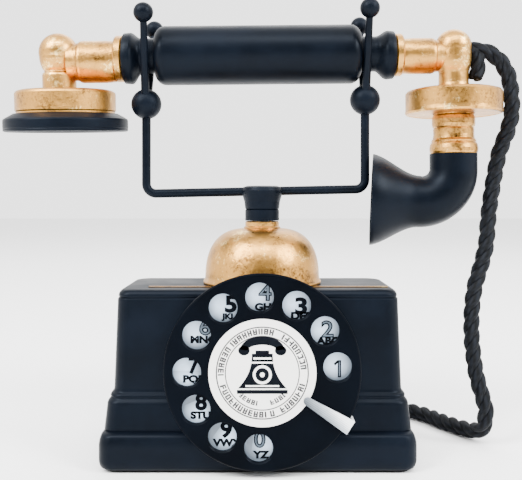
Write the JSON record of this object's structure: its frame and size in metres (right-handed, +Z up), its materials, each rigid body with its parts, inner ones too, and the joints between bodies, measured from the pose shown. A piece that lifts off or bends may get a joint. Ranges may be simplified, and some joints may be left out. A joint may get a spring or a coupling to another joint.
{
  "type": "rotary telephone",
  "caption": "Antique-style rotary desk telephone: stepped black casing with a gilt bell, finger dial, fork cradle, and a gilt and black handset with a trumpet mouthpiece.",
  "frame": {"origin": "centre of the base's underside, on the felt", "axes": "+Z up, -Y towards the dial's user, +X towards the mouthpiece end of the handset"},
  "size_m": [0.2229, 0.0947, 0.1896],
  "materials": {
    "black_lacquer": "satin",
    "black_handset": "satin",
    "black_rubber": "matte",
    "gold_leaf": "brushed",
    "felt": "matte",
    "steel": "brushed",
    "bright_steel": "polished",
    "brass": "satin",
    "enamel": "satin",
    "card": "matte",
    "coil_wire": "satin",
    "magnet_iron": "matte",
    "can_aluminium": "satin",
    "phenolic": "satin",
    "capsule": "matte",
    "cord_rope": "matte"
  },
  "bodies": {
    "casing": {"base_felt": "felt", "base_plate": "steel", "base_screws": "brass", "plinth": "black_lacquer", "casing": "black_lacquer", "top_trim": "gold_leaf", "bell_gong": "gold_leaf", "bell_collar": "gold_leaf", "bell_standard": "steel", "cord_gland": "black_rubber", "line_gland": "black_rubber", "dial_boss": "black_lacquer", "dial_housing": "black_lacquer", "number_plate": "enamel", "finger_stop": "bright_steel", "stop_screw": "bright_steel", "dial_frame": "brass", "impulse_springs": "brass", "governor_cup": "brass", "return_spring": "steel", "hook_bracket": "steel", "hook_contacts": "brass", "hook_spring": "steel", "ringer_frame": "steel", "ringer_coils": "coil_wire", "ringer_magnet": "magnet_iron", "terminal_block": "phenolic", "terminal_screws": "brass", "induction_coil": "coil_wire", "capacitor": "can_aluminium"},
    "dial": {"finger_wheel": "black_lacquer", "centre_card": "card", "card_screw": "brass", "dial_shaft": "steel", "main_gear": "brass"},
    "governor": {"impulse_spindle": "steel", "governor_weights": "brass"},
    "hook": {"hook_plunger": "steel", "cradle_hub": "black_lacquer", "cradle_bar": "black_lacquer", "cradle_balls": "black_lacquer", "fork_left": "black_lacquer", "fork_right": "black_lacquer", "fork_tips": "black_lacquer"},
    "lever": {"hook_lever": "steel"},
    "ringer": {"ringer_armature": "steel", "clapper": "brass"},
    "handset": {"handset_grip": "black_handset", "ferrule_left": "gold_leaf", "ferrule_right": "gold_leaf", "receiver_joint": "gold_leaf", "transmitter_joint": "gold_leaf", "receiver_shell": "gold_leaf", "receiver_capsule": "capsule", "ear_cap": "black_handset", "transmitter_shell": "gold_leaf", "transmitter_capsule": "capsule", "horn_neck": "gold_leaf", "horn": "black_handset", "handset_cord": "cord_rope"}
  },
  "joints": [
    {"name": "dial_turn", "type": "hinge", "parent": "casing", "child": "dial", "pos_m": [0.0018, 0, 0.0407], "axis": [0, 1, 0], "range_deg": [0, 284], "stiffness_Nm_per_rad": 0.004, "springref_deg": -57.3},
    {"name": "governor_spin", "type": "hinge", "parent": "casing", "child": "governor", "pos_m": [0.0018, 0, 0.05618], "axis": [0, 1, 0], "range_deg": [-1752, 0]},
    {"name": "handset_lift", "type": "slide", "parent": "casing", "child": "handset", "axis": [0.1323, 0, 0.9912], "range_m": [0, 0.06]},
    {"name": "hook_rise", "type": "slide", "parent": "casing", "child": "hook", "axis": [0, 0, 1], "range_m": [0, 0.0041], "deforming": ["hook_spring"]},
    {"name": "lever_rock", "type": "hinge", "parent": "casing", "child": "lever", "pos_m": [-0.024, 0, 0.0516], "axis": [0, -1, 0], "range_deg": [0, 10.8]},
    {"name": "clapper_swing", "type": "hinge", "parent": "casing", "child": "ringer", "pos_m": [0.0147, 0, 0.049], "axis": [0, 1, 0], "range_deg": [-2.5, 2.5], "stiffness_Nm_per_rad": 0.006}
  ],
  "couplings": [
    {"joint": "governor_spin", "follows": "dial_turn", "ratio": -6.1667},
    {"joint": "hook_rise", "follows": "handset_lift", "ratio": 0.066667},
    {"joint": "lever_rock", "follows": "handset_lift", "rad_per_m": 3.0833}
  ]
}
